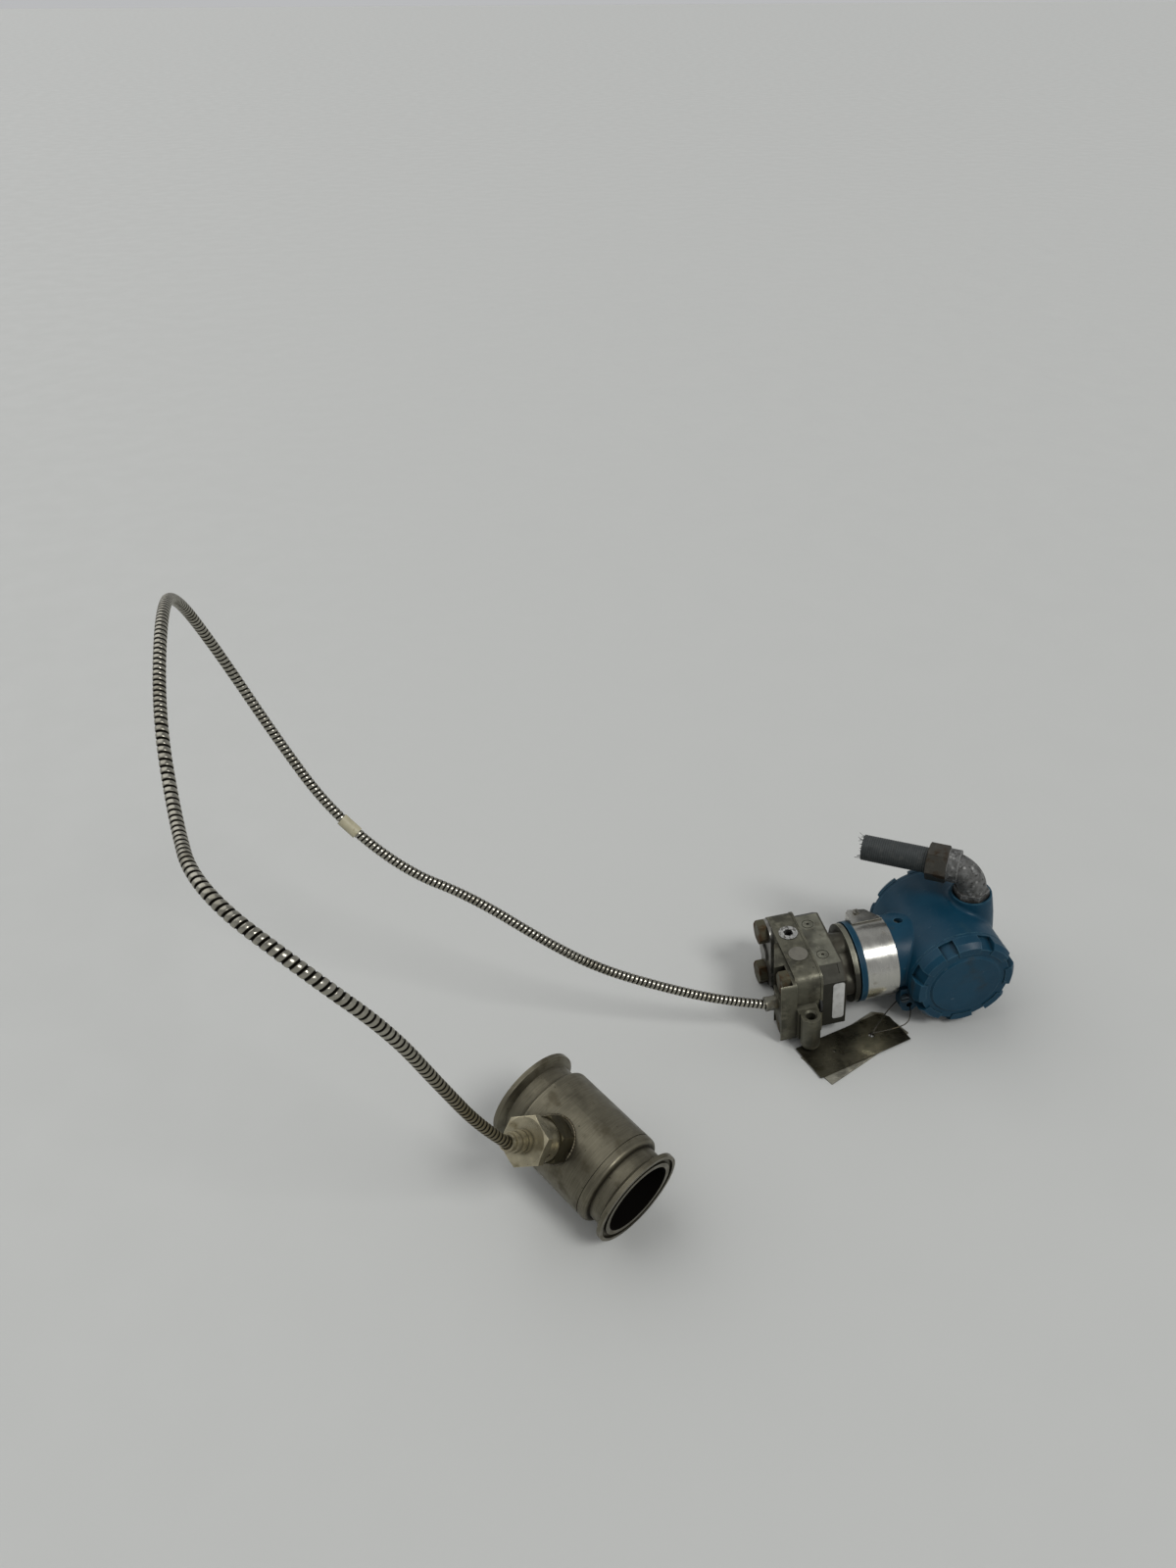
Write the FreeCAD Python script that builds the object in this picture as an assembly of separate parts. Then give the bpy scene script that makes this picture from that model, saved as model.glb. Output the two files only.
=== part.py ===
import FreeCAD, Part
import math
import os

V = FreeCAD.Vector
X, Y, Z = V(1, 0, 0), V(0, 1, 0), V(0, 0, 1)

# Pressure transmitter with an armoured capillary and an in-line remote seal, lying on its side.
# Millimetres. +Z is up, +X runs along the neck from the flange to the housing, +Y is away from
# the front cover. The origin is on the surface that everything rests on.
#
# The transmitter is modelled in its own frame: origin where the neck axis crosses the axis of
# the covers, X along the neck, Y along the cover axis towards the rear cover. The seal is
# modelled in its own frame too: origin at mid-length on its bore axis, X along the bore.

# Where the transmitter and the seal lie
transmitter_x = 152.297
transmitter_y = 62.544
seal_x = -139.503
seal_y = -62.954
seal_heading = -56.6          # direction of the bore axis in plan, degrees from +X
seal_lean = 7.7               # the far rim is held up by the stiff armour, degrees

# Clearances
slip = 0.3                    # between pieces that move past each other
seat_gap = 0.1                # between pieces of one body that are not face to face

# Housing and its two screwed covers
housing_diameter = 75.0
front_shoulder = 2.0          # barrel in front of the neck
rear_reach = 37.5             # neck axis to the rear end of the barrel
front_cover_rim = 14.0        # thickness of a cover outside the housing
rear_cover_rim = 9.0
cover_step = 1.2              # height of the round plateau on a cover
cover_plateau = 50.0          # its diameter
plateau_slope = 1.5           # width of the slope around it
cover_set_back = 0.2          # the rim's radius is this much less than the housing's
cover_band = 2.5              # plain band of the rim, next to the housing
cover_recess = 2.2            # depth of the rim between the grips
cover_taper = 2.5             # by which the rim narrows towards the crown
cover_wall = 4.0
grips = 8                     # lobes around the rim for turning the cover by hand
grip_angle = 28.0
grip_height = 0.4             # how far a grip stands out from the band
grip_inner = 29.5             # radius at which a grip begins on the crown
grip_rise = 0.7               # above the crown
grip_bevel = 3.0
skirt_diameter = 65.0
skirt_length = 11.0
thread_run_out = 1.0
seal_section = 2.4
chamber_diameter = 58.0
partition_front = -8.0
partition_rear = -3.0

# Conduit ports
port_x = 22.0
port_y = 4.0
port_reach = 42.0             # neck axis to the face of a port
boss_mouth = 29.0             # diameter of a port's boss at its face
boss_middle = 37.0            # and where the two bosses run together
port_diameter = 21.0
port_floor = 8.0
port_spotface = 26.6
spotface_depth = 2.0

# Neck
neck_diameter = 57.0
neck_ring_diameter = 59.4
neck_ring_width = 4.2
neck_end = -71.0              # face of the housing's neck
neck_bore_end = -34.0
neck_bore = 42.0
neck_blend = 1.5
boss_blend = 3.0
band_thickness = 0.6
band_from_ring = 0.3
band_from_barrel = 5.5
band_gap = 40.0               # degrees left open under the neck
tab_front = 8.0               # raised tab of the band with its screw, from the neck axis
tab_rear = 22.5
tab_corner = 2.5
tab_square = 14.3             # length of the tab's square part
tab_length = 23.0
tab_rise = 0.3
tab_root = 11.0
plate_screw_x = 7.3           # from the band's edge
plate_screw_y = 18.5
plate_screw_head = 4.8
plate_screw_height = 1.2
plate_screw_shank = 2.5
plate_screw_length = 5.0
screw_slot = 0.8
screw_slot_depth = 0.7
wire_hole = 10.0
wire_hole_y = -16.0
set_screw_y = 3.4
set_screw_x = -32.3           # of the mouth of its hole
set_screw_tip_x = -36.5
set_screw_diameter = 6.0
set_screw_length = 5.0
set_screw_socket = 3.0
set_screw_socket_depth = 2.5
set_screw_rise = 0.5          # of the hole's mouth above the neck
tie_lug_in = 3.2              # its axis inside the barrel's radius
tie_lug_drop = 3.5            # and above the neck's lowest line
tie_lug_set_back = 0.5        # behind the barrel's front end
tie_lug_diameter = 13.0
tie_lug_length = 8.0
tie_lug_side = 1.0            # of the web beyond the lug
tie_lug_web = 17.0
tie_lug_hole = 4.6
ground_screw_left = 4.7       # from the tie lug's axis
ground_screw_up = 9.0
ground_screw_head = 6.4
ground_screw_height = 2.4
ground_screw_shank = 3.8
ground_screw_length = 9.0
ground_screw_slot = 1.0
ground_screw_slot_depth = 1.0

# Pieces inside the housing
puck_gap = 2.0                # around the electronics module
module_puck_end = -22.0
module_post = 8.0
module_post_end = -26.0
module_post_z = 15.0
terminal_gap = 6.0            # around the terminal block
terminal_base_end = 12.0
terminal_pitch = 11.0
terminal_z = 4.0
terminal_hole = 4.0
terminal_hole_depth = 6.0
terminal_head = 7.5
terminal_head_height = 3.0
terminal_shank = 5.0
terminal_slot = 1.2

# Sensor module
module_start = -103.5
module_end = -86.0
block_half_width = 36.0
block_half_height = 30.0
block_corner_y = 10.5
block_corner_z = 9.0
module_collar = 46.0
module_disc = 58.0            # diameter of the disc under the housing's neck
module_disc_start = -75.7
module_disc_end = -72.1
nub_diameter = 22.0
nub_circle = 16.5             # radius on which the four nubs stand
module_neck_gap = 2.0
ring_groove_x = -65.0         # ring seal between the module's neck and the housing
ring_groove_section = 2.4
ring_groove_width = 3.4
cast_mark_x = -97.0           # two round marks on the upper face
cast_mark_y = 16.0
cast_mark_outer = 9.0
cast_mark_inner = 7.4
cast_mark_dot = 2.4
cast_mark_depth = 0.5
cast_dot_depth = 0.9
corner_pocket_x = -98.3       # shallow pocket in the cut corner at the front
corner_pocket_length = 8.3
corner_pocket_width = 7.0
corner_pocket_depth = 0.6
corner_pocket_edge = 1.2      # from the upper face
blind_hole_floor = 3.0        # left under the bolts' holes
label_thickness = 0.3
label_x = -96.0
label_z = -15.5
label_width = 8.5
label_height = 35.0

# Process flange with the standard bolt pattern
flange_start = -123.0
flange_rounding = 8.0
port_spacing = 54.0
bolt_spacing = 41.3
bolt_diameter = 10.0
bolt_across = 15.9
bolt_head = 6.5
seat_thickness = 2.5          # of the adapter and the blank plate under the bolts' heads
ear_offset = 45.5             # neck axis to the axis of an ear
ear_diameter = 14.0
ear_top = 4.0
ear_bottom = -28.0
ear_hole = 6.8
ear_hole_depth = 16.0
ear_sink = 1.2                # bevel at the mouth of the hole
ear_rounding = 5.5
ear_shift = 2.05              # of the ears from the flange's middle
ear_web_low = 6.0             # lower edge of the web, above the ear's end
ear_web_end = 3.0             # from the ear's axis to the web's end
ear_web_land = 6.0            # and to the foot of the web's slope
ear_web_rise = 2.0            # of the slope at the flange
ear_web_root = 4.0
bead_width = 1.6              # raised bead along the joint with the module
bead_height = 0.5
bolt_clearance = 0.4
bolt_chamfer = 0.8
bolt_end_gap = 1.0
gasket_diameter = 20.0
gasket_section = 2.4
gasket_clearance = 0.2
vent_x = -113.3
vent_spacing = 22.0
vent_plug_diameter = 13.6
vent_plug_depth = 12.0
vent_plug_rise = 0.6
vent_socket = 6.4
vent_socket_depth = 5.0
blanking_disc_rise = 0.5
process_bore = 10.0

# Adapter, blank plate and capillary fitting on the flange
adapter_thickness = 11.5
adapter_toe = 2.0             # its thickness at the rear end
adapter_rear = 7.0
adapter_knee = -22.0          # where the slope of its outer face ends
adapter_front = -38.3
adapter_above = 7.35          # over the axis of the upper bolts
adapter_below = 6.35          # under the axis of the lower bolts
adapter_rounding = 3.0
notch_gap = 0.6               # around a bolt's head
blank_rear = 9.0              # from the port's axis
blank_front = -13.5
blank_half_height = 29.0
blank_rounding = 8.0
blank_boss = 14.0
blank_boss_height = 2.0
crimp_z = 3.5
crimp_diameter = 10.5
crimp_length = 8.5
crimp_flats = 6
crimp_flat_depth = 0.5
crimp_flat_width = 12.0
crimp_front_land = 1.0
crimp_rear_land = 1.5

# Conduit fittings
elbow_rise = 20.5             # port face to the axis of the elbow's outlet
elbow_heading = 144.5         # direction of the outlet in plan, degrees from +X
elbow_bend = 17.5
elbow_diameter = 20.6
elbow_bore = 13.0
elbow_hex = 21.6
elbow_hex_height = 6.0
elbow_collar = 24.4
elbow_collar_end = 18.0
elbow_collar_width = 8.0
nipple_length = 14.0          # screwed into a port
gland_across = 24.2
gland_end = 32.5
gland_chamfer = 1.2
stub_end = 79.7
stub_diameter = 19.2
stub_bore = 12.6
stub_liner = 0.9
liner_set_back = 0.6
port_plug_socket = 9.5
port_plug_socket_depth = 7.0

# In-line seal
seal_length = 96.0
ferrule_diameter = 64.0
ferrule_rim = 2.9
ferrule_taper = 3.0
tube_diameter = 53.5
bore_diameter = 47.5
body_diameter = 62.0
body_start = -32.0
body_end = 33.5
shoulder = 2.8                # rounding at both ends of the body
mark_inset = 6.0              # fine turned groove near the lower end
mark_width = 0.7
mark_depth = 0.4
gasket_groove = 56.5          # middle of the clamp gasket's groove in both end faces
gasket_groove_width = 3.0
gasket_groove_depth = 1.6
sleeve_length = 60.0
sleeve_wall = 0.8
fill_gap = 0.6
sleeve_lip = 4.0
fitting_at = -6.0             # of the side fitting, along the bore
fitting_tilt = 44.0           # of the side fitting's axis, about the bore
pad_diameter = 28.0
pad_end = 31.5                # all fitting lengths are from the bore axis
hex_across = 26.6
hex_chamfer = 1.0
hex_end = 46.0
nut_across = 27.8
nut_chamfer = 2.4
weep_hole = 2.6
weep_from_hex = 8.0
collar_diameter = 26.0        # round part of the nut, next to the hexagon
collar_end = 58.0
nut_end = 66.0
stub_steps = [(6.8, 70.0), (6.0, 72.0), (6.6, 76.0), (5.4, 79.5), (5.9, 81.5), (4.9, 85.0)]

# Capillary
armour_diameter = 6.8
capillary_bore = 5.4          # of the drilled way from the port to the crimp
armour_route = [V(-19.8, 40.2, 36), V(-64.2, 48.5, 50), V(-106.2, 60.5, 64), V(-142.2, 65.5, 91),
                V(-189.2, 90.5, 118), V(-231.2, 102.5, 137), V(-275.2, 127.5, 175),
                V(-305.2, 155.5, 221), V(-331.2, 168.5, 278), V(-345.2, 140.5, 335),
                V(-341.2, 75.5, 354), V(-343.2, 21.5, 322), V(-335.2, -32.5, 294),
                V(-319.2, -97.5, 303), V(-272.2, -133.5, 276), V(-242.2, -131.5, 233),
                V(-222.2, -119.5, 177), V(-203.2, -105.5, 123)]
splice_at = 321.0             # of the splice sleeve, along the armour from the transmitter
splice_diameter = 8.4
splice_bore = 7.2
splice_length = 14.0
armour_socket = 8.0           # recess that takes the armour's end in the crimp and in the stub
armour_socket_depth = 1.0

# Tags
tag_knot_x = 87.5             # where the wire passes through both tags
tag_knot_y = 19.2
tag_length = 79.0
tag_width = 30.0
tag_thickness = 1.0
tag_corner = 6.0
tag_hole = 4.4
tag_hole_pitch = 33.0         # from the upper tag's hole to its small one
tag_small_hole = 2.5
upper_tag_angle = 16.5
upper_hole_end = 23.0         # place of the hole, from the right end and the near edge
upper_hole_edge = 15.5
lower_tag_angle = 26.0
lower_hole_end = 24.0
lower_hole_edge = 14.0
wire_diameter = 0.8
wire_up = [V(-1.2, -0.8, 0.6), V(-1.2, -0.8, 4.5), V(15, -1, 6), V(27, -1, 10)]     # from the knot
wire_down = [V(18, 16, 7), V(6, 5, 6), V(1.2, 0.9, 4), V(1.2, 0.9, 0.6)]
wire_front = V(-1.0, -5.0, 0.4)     # from the front mouth of the tie lug's hole
wire_back = V(-1.5, 3.0, -2.5)      # from its rear mouth

# Shape helpers
def turned(outline, sweep=360):
    """Solid of revolution about X; the outline is a list of (along, radius)."""
    points = [V(along, 0, radius) for along, radius in outline]
    face = Part.Face(Part.makePolygon(points + points[:1]))
    return face.revolve(V(0, 0, 0), X, sweep)


def aimed(shape, at, direction):
    """Copy of a shape made along +X, turned to a direction and moved to a point."""
    copy = shape.copy()
    copy.Placement = FreeCAD.Placement(at, FreeCAD.Rotation(X, direction))
    return copy


def rod(diameter, start, end):
    """Cylinder between two points."""
    along = end - start
    return Part.makeCylinder(diameter / 2, along.Length, start, along)


def ring(outer, inner, start, end):
    return rod(outer, start, end).cut(rod(inner, start, end))


def hexagon(across, length):
    """Hexagonal prism along +X from the origin."""
    corners = [math.radians(60 * step) for step in range(7)]
    radius = across / math.sqrt(3)
    points = [V(0, radius * math.cos(angle), radius * math.sin(angle)) for angle in corners]
    return Part.Face(Part.makePolygon(points)).extrude(V(length, 0, 0))


def hex_bar(across, start, end, chamfer):
    """Hexagon between two points, with its corners turned off at both ends."""
    along = end - start
    bar = hexagon(across, along.Length)
    outer = across / math.sqrt(3)
    inner = outer - chamfer
    drop = chamfer * math.tan(math.radians(30))
    blank = turned([(0, 0), (0, inner), (drop, outer), (along.Length - drop, outer),
                    (along.Length, inner), (along.Length, 0)])
    return aimed(bar.common(blank), start, along)


def o_ring(diameter, section, at, axis):
    """Ring of round section; the diameter is measured at the middle of the section."""
    return Part.makeTorus(diameter / 2, section / 2, at, axis)


def brick(low, high):
    return Part.makeBox(high.x - low.x, high.y - low.y, high.z - low.z, low)


def blended(first, second, radius):
    """Two round bars fused, with a fillet where their walls run into each other."""
    body = first.fuse(second).removeSplitter()
    crossing = [edge for edge in body.Edges if edge.Curve.TypeId == "Part::GeomBSplineCurve"]
    return body.makeFillet(radius, crossing)


# Placing of the transmitter and the seal
def rest_tilt():
    """The transmitter lies on the flange's lower edge and on the lower port's face."""
    contact = port_x - boss_mouth / 2
    return math.atan2(port_reach - block_half_height, contact - flange_start)


tilt = rest_tilt()
axis_height = block_half_height * math.cos(tilt) - flange_start * math.sin(tilt)
transmitter_place = FreeCAD.Placement(V(transmitter_x, transmitter_y, axis_height),
                                      FreeCAD.Rotation(Y, -math.degrees(tilt)))
lean = math.radians(seal_lean)
seal_height = ferrule_diameter / 2 * math.cos(lean) + seal_length / 2 * math.sin(lean)
seal_place = FreeCAD.Placement(V(seal_x, seal_y, seal_height),
                               FreeCAD.Rotation(Z, seal_heading) * FreeCAD.Rotation(Y, seal_lean))

# Housing
barrel_front = -neck_diameter / 2 - front_shoulder
band_start = neck_end + neck_ring_width + band_from_ring
band_end = -housing_diameter / 2 - band_from_barrel
tab_top = neck_diameter / 2 + slip + band_thickness + tab_rise
cover_hollow = skirt_diameter / 2 - cover_wall
ring_seat = skirt_diameter / 2 + slip + seal_section / 2
ring_pocket = ring_seat + seal_section / 2 + slip
ring_depth = seal_section + 2 * slip
thread_depth = skirt_length + thread_run_out
set_screw_mouth = V(set_screw_x, set_screw_y, neck_diameter / 2 + set_screw_rise)
set_screw_tip = V(set_screw_tip_x, set_screw_y, neck_bore / 2 + seat_gap)
set_screw_axis = (set_screw_mouth - set_screw_tip).normalize()
tie_lug = V(tie_lug_in - housing_diameter / 2, barrel_front + tie_lug_set_back,
            tie_lug_drop - neck_diameter / 2)
ground_screw_at = tie_lug + V(-ground_screw_left, 0, ground_screw_up)


def chamber(face, floor):
    """Space of one compartment, with the thread and the ring's pocket at its mouth."""
    outward = V(0, face, 0).normalize()
    mouth = V(0, face, 0)
    shapes = [rod(chamber_diameter, V(0, floor, 0), mouth),
              rod(skirt_diameter + 2 * slip, mouth - outward * thread_depth, mouth)]
    pocket = rod(2 * ring_pocket, mouth - outward * ring_depth, mouth)
    return shapes[0].fuse(shapes[1]).fuse(pocket)


def port_bosses():
    """Both ports' bosses as one bar along Z, widest where it crosses the covers' axis."""
    low = V(-port_reach, 0, boss_mouth / 2)
    high = V(port_reach, 0, boss_mouth / 2)
    bulge = Part.Arc(low, V(0, 0, boss_middle / 2), high).toShape()
    ends = Part.makePolygon([high, X * port_reach, X * -port_reach, low])
    body = Part.Face(Part.Wire([bulge] + ends.Edges)).revolve(V(0, 0, 0), X, 360)
    return aimed(body, V(port_x, port_y, 0), Z)


def electronics_housing():
    barrel = rod(housing_diameter, Y * barrel_front, Y * rear_reach)
    neck = rod(neck_diameter, X * neck_end, V(0, 0, 0))
    body = blended(barrel, neck, neck_blend).fuse(blended(barrel, port_bosses(), boss_blend))
    body = body.removeSplitter()
    foot = rod(neck_ring_diameter, X * neck_end, X * (neck_end + neck_ring_width))
    lug = rod(tie_lug_diameter, tie_lug, tie_lug + Y * tie_lug_length)
    side = tie_lug_diameter / 2 + tie_lug_side
    web = brick(tie_lug - X * side, tie_lug + V(tie_lug_diameter, tie_lug_length, tie_lug_web))
    body = body.fuse(foot).fuse(lug).fuse(web)
    body = body.cut(chamber(barrel_front, partition_front))
    body = body.cut(chamber(rear_reach, partition_rear))
    body = body.cut(rod(neck_bore, X * neck_end, X * neck_bore_end))
    body = body.cut(rod(wire_hole, V(neck_bore_end, wire_hole_y, 0), V(0, wire_hole_y, 0)))
    for side in (1, -1):
        face = V(port_x, port_y, side * port_reach)
        body = body.cut(rod(port_diameter, V(port_x, port_y, side * port_floor), face))
        body = body.cut(rod(port_spotface, face - Z * side * spotface_depth, face))
    body = body.cut(rod(set_screw_diameter, set_screw_tip, set_screw_mouth * 2 - set_screw_tip))
    body = body.cut(rod(tie_lug_hole, tie_lug - Y, tie_lug + Y * (tie_lug_length + 1)))
    ground_hole = ground_screw_at + Y * (ground_screw_length + seat_gap)
    return body.cut(rod(ground_screw_shank + 2 * seat_gap, ground_screw_at, ground_hole))


def cover(thickness):
    """Screwed cover along +X, with its seating face at the origin."""
    rim = housing_diameter / 2 - cover_set_back
    crown = thickness - cover_step
    skirt = skirt_diameter / 2
    plateau = cover_plateau / 2
    low = rim - cover_recess
    body = turned([(-skirt_length, cover_hollow), (-skirt_length, skirt), (0, skirt), (0, rim),
                   (cover_band, rim), (cover_band, low), (crown, low - cover_taper),
                   (crown, plateau + plateau_slope), (thickness, plateau), (thickness, 0),
                   (crown - cover_wall, 0), (crown - cover_wall, cover_hollow)])
    top = rim + grip_height
    grip = turned([(cover_band, grip_inner), (cover_band, top), (crown - grip_bevel, top),
                   (crown + grip_rise, top - grip_bevel), (crown + grip_rise, grip_inner)], grip_angle)
    for step in range(grips):
        turn = grip.copy()
        turn.rotate(V(0, 0, 0), X, 360.0 * step / grips - grip_angle / 2)
        body = body.fuse(turn)
    return body


def front_cover():
    return aimed(cover(front_cover_rim), Y * barrel_front, V(0, -1, 0))


def rear_cover():
    return aimed(cover(rear_cover_rim), Y * rear_reach, V(0, 1, 0))


def cover_seal(face, inward):
    return o_ring(2 * ring_seat, seal_section, Y * face + inward * (slip + seal_section / 2), Y)


def nameplate_band():
    inner = neck_diameter / 2 + slip
    outer = inner + band_thickness
    outline = [(band_start, inner), (band_start, outer), (band_end, outer), (band_end, inner)]
    strip = turned(outline, 360 - band_gap)
    strip.rotate(V(0, 0, 0), X, 180 + band_gap / 2)
    corners = [V(0, tab_front, 0), V(0, tab_rear - tab_corner, 0), V(tab_corner, tab_rear, 0),
               V(tab_square, tab_rear - tab_corner, 0), V(tab_length, tab_front, 0)]
    points = [corner + V(band_start, 0, tab_top - tab_root) for corner in corners]
    tab = Part.Face(Part.makePolygon(points + points[:1])).extrude(Z * tab_root)
    tab = tab.cut(rod(2 * inner, X * neck_end, V(0, 0, 0)))
    hole = V(band_start + plate_screw_x, plate_screw_y, tab_top)
    return strip.fuse(tab).cut(rod(plate_screw_shank + 2 * seat_gap, hole - Z * tab_root, hole))


def slotted_screw(head, height, shank, length, slot, depth):
    """Screw along +X with the underside of its head at the origin."""
    body = rod(head, V(0, 0, 0), X * height).fuse(rod(shank, X * -length, V(0, 0, 0)))
    return body.cut(brick(V(height - depth, -head, -slot / 2), V(height + depth, head, slot / 2)))


def nameplate_screw():
    screw = slotted_screw(plate_screw_head, plate_screw_height, plate_screw_shank, plate_screw_length,
                          screw_slot, screw_slot_depth)
    return aimed(screw, V(band_start + plate_screw_x, plate_screw_y, tab_top), Z)


def rotation_set_screw():
    top = set_screw_tip + set_screw_axis * set_screw_length
    body = rod(set_screw_diameter - 2 * seat_gap, set_screw_tip, top)
    floor = set_screw_tip + set_screw_axis * (set_screw_length - set_screw_socket_depth)
    return body.cut(aimed(hexagon(set_screw_socket, set_screw_length), floor, set_screw_axis))


def ground_screw():
    screw = slotted_screw(ground_screw_head, ground_screw_height, ground_screw_shank, ground_screw_length,
                          ground_screw_slot, ground_screw_slot_depth)
    return aimed(screw, ground_screw_at, -Y)


def electronics_module():
    room = min(chamber_diameter, 2 * cover_hollow)
    puck = rod(room - 2 * puck_gap, Y * partition_front, Y * module_puck_end)
    post = rod(module_post, V(0, module_puck_end, module_post_z), V(0, module_post_end, module_post_z))
    return puck.fuse(post)


terminals = [V(step * terminal_pitch, terminal_base_end, terminal_z) for step in (-1, 0, 1)]


def terminal_block():
    block = rod(chamber_diameter - 2 * terminal_gap, Y * partition_rear, Y * terminal_base_end)
    for at in terminals:
        block = block.cut(rod(terminal_hole, at - Y * terminal_hole_depth, at))
    return block


def terminal_screws():
    screw = slotted_screw(terminal_head, terminal_head_height, terminal_hole - 2 * seat_gap, terminal_shank,
                          terminal_slot, terminal_slot)
    return Part.makeCompound([aimed(screw, at, Y) for at in terminals])


# Sensor module and process flange
def block():
    """Rectangle with cut corners, drawn out along the neck axis."""
    corner = [(block_half_width, block_half_height - block_corner_z),
              (block_half_width - block_corner_y, block_half_height)]
    quarter = corner + [(-y, z) for y, z in reversed(corner)]
    points = [V(module_start, y, z) for y, z in quarter + [(-y, -z) for y, z in quarter]]
    face = Part.Face(Part.makePolygon(points + points[:1]))
    return face.extrude(X * (module_end - module_start))


def slab(start, end, grow=0.0):
    """Rectangle with rounded corners, drawn out along the neck axis."""
    wide = block_half_width + grow
    high = block_half_height + grow
    body = brick(V(start, -wide, -high), V(end, wide, high))
    return rounded(body, flange_rounding + grow)


def rounded(body, radius):
    """Fillets on the edges that run along X."""
    edges = [edge for edge in body.Edges if abs(edge.tangentAt(edge.FirstParameter).x) > 0.9]
    return body.makeFillet(radius, edges)


def corner_pocket():
    """Shallow pocket in the cut corner of the module, near its upper edge."""
    slope = math.atan2(block_corner_z, block_corner_y)
    low = V(corner_pocket_x, -corner_pocket_edge - corner_pocket_width, -corner_pocket_depth)
    size = V(corner_pocket_length, corner_pocket_width, 2 * corner_pocket_depth)
    pocket = brick(low, low + size)
    pocket.rotate(V(0, 0, 0), X, math.degrees(slope))
    pocket.translate(V(0, block_corner_y - block_half_width, block_half_height))
    return pocket


module_neck = neck_bore - 2 * slip
module_neck_end = neck_bore_end - module_neck_gap
flange_thickness = module_start - flange_start
flange_middle = (flange_start + module_start) / 2 - ear_shift
bolt_places = [(y, z) for y in (port_spacing / 2, -port_spacing / 2)
               for z in (bolt_spacing / 2, -bolt_spacing / 2)]


def sensor_module():
    body = block()
    body = body.fuse(rod(module_collar, V(module_end, 0, 0), V(module_disc_start, 0, 0)))
    body = body.fuse(rod(module_disc, V(module_disc_start, 0, 0), V(module_disc_end, 0, 0)))
    for step in range(4):
        angle = math.radians(90 * step)
        at = V(module_end, nub_circle * math.sin(angle), nub_circle * math.cos(angle))
        body = body.fuse(rod(nub_diameter, at, V(module_disc_start, at.y, at.z)))
    body = body.fuse(rod(module_neck, X * module_disc_end, X * module_neck_end))
    groove_half = X * (ring_groove_width / 2)
    body = body.cut(ring(module_collar, module_neck - 2 * ring_groove_section,
                         X * ring_groove_x - groove_half, X * ring_groove_x + groove_half))
    for y in (-cast_mark_y, cast_mark_y):
        mark = V(cast_mark_x, y, block_half_height)
        body = body.cut(ring(cast_mark_outer, cast_mark_inner, mark - Z * cast_mark_depth, mark))
        body = body.cut(rod(cast_mark_dot, mark - Z * cast_dot_depth, mark))
    for y, z in bolt_places:
        body = body.cut(rod(bolt_diameter, V(module_start, y, z), V(module_end - blind_hole_floor, y, z)))
    return body.cut(corner_pocket())


def neck_seal():
    middle = module_neck / 2 - ring_groove_section / 2
    return o_ring(2 * middle, ring_groove_section - 2 * seat_gap, X * ring_groove_x, X)


def process_flange():
    body = slab(flange_start, module_start)
    body = body.fuse(slab(module_start - bead_width, module_start, bead_height))
    for side in (1, -1):
        body = body.fuse(ear(side)).fuse(ear_web(side))
    for side in (1, -1):
        top = V(flange_middle, side * ear_offset, ear_top)
        body = body.cut(rod(ear_hole, top - Z * ear_hole_depth, top))
        sink = Part.makeCone(ear_hole / 2, ear_hole / 2 + ear_sink, ear_sink, top - Z * ear_sink, Z)
        body = body.cut(sink)
        port = V(flange_start, side * port_spacing / 2, 0)
        body = body.cut(rod(process_bore, port, port + X * flange_thickness))
        body = body.cut(ring(gasket_diameter + gasket_section + 2 * gasket_clearance,
                             gasket_diameter - gasket_section - 2 * gasket_clearance,
                             port + X * (flange_thickness - gasket_section), port + X * flange_thickness))
        vent = V(vent_x, side * vent_spacing / 2, block_half_height)
        body = body.cut(rod(vent_plug_diameter + 2 * seat_gap, vent - Z * vent_plug_depth, vent))
    for y, z in bolt_places:
        body = body.cut(bolt_way(y, z))
    return body


def ear(side):
    """Round post beside the flange with a rounded lower end."""
    low = V(flange_middle, side * ear_offset, ear_bottom)
    post = rod(ear_diameter, low, low + Z * (ear_top - ear_bottom))
    rims = [edge for edge in post.Edges if edge.Closed and abs(edge.CenterOfMass.z - ear_bottom) < 0.01]
    return post.makeFillet(ear_rounding, rims)


def ear_web(side):
    """Wall between the flange and an ear, flush with the flange's outer face."""
    inner = side * (block_half_width - ear_web_root)
    foot = side * (ear_offset - ear_web_land)
    outer = side * (ear_offset - ear_web_end)
    low = ear_bottom + ear_web_low
    points = [V(flange_start, inner, low), V(flange_start, outer, low), V(flange_start, outer, ear_top),
              V(flange_start, foot, ear_top), V(flange_start, inner, ear_top + ear_web_rise)]
    wall = flange_middle + ear_diameter / 2 - flange_start
    return Part.Face(Part.makePolygon(points + points[:1])).extrude(X * wall)


def process_gaskets():
    seals = []
    for side in (1, -1):
        at = V(module_start - gasket_section / 2, side * port_spacing / 2, 0)
        seals.append(o_ring(gasket_diameter, gasket_section - 2 * seat_gap, at, X))
    return Part.makeCompound(seals)


def bolt(y, z):
    """Bolt through its seat and the flange into the module."""
    seat = V(flange_start - seat_thickness, y, z)
    tip = V(module_end - blind_hole_floor - bolt_end_gap, y, z)
    shank = rod(bolt_diameter - 2 * seat_gap, seat, tip)
    return shank.fuse(hex_bar(bolt_across, seat - X * bolt_head, seat, bolt_chamfer))


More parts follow.
